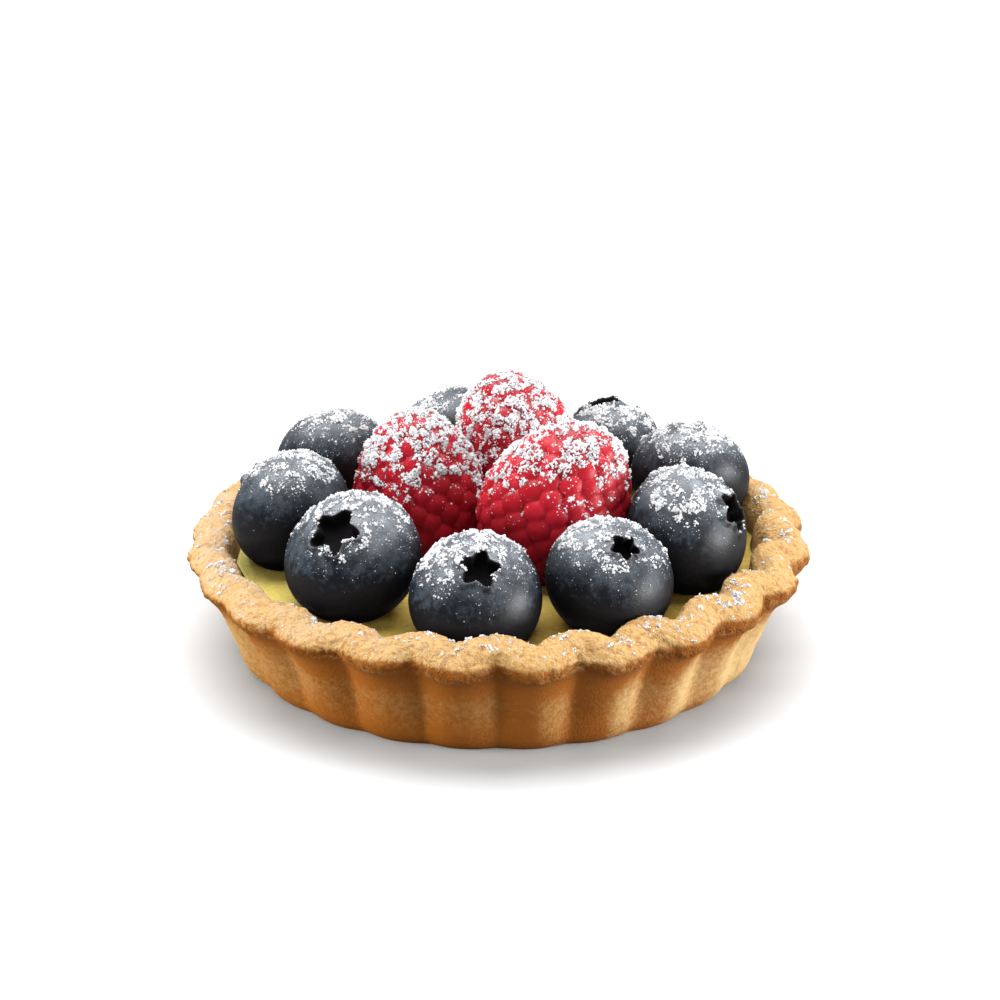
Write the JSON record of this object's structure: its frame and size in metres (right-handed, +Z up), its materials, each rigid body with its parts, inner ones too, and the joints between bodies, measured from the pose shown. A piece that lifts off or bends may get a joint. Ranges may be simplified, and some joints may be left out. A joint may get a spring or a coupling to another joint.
{
  "type": "berry tart",
  "caption": "Small round tart: a fluted shortcrust shell filled with custard, topped with a ring of blueberries around upright raspberries.",
  "frame": {"origin": "centre of the flat underside of the crust", "axes": "+Z up, out of the filling; -Y toward the side that faces the viewer in the picture; +X to its right"},
  "size_m": [0.0795, 0.0791, 0.0321],
  "materials": {
    "shortcrust": "baked, dry and sandy",
    "custard": "smooth and moist",
    "blueberry": "waxy bloom",
    "raspberry": "juicy, half clear"
  },
  "bodies": {
    "root": {"crust": "shortcrust", "custard": "custard", "blueberry_1": "blueberry", "blueberry_2": "blueberry", "blueberry_3": "blueberry", "blueberry_4": "blueberry", "blueberry_5": "blueberry", "blueberry_6": "blueberry", "blueberry_7": "blueberry", "blueberry_8": "blueberry", "blueberry_9": "blueberry", "raspberry_1": "raspberry", "raspberry_2": "raspberry", "raspberry_3": "raspberry"}
  },
  "joints": []
}
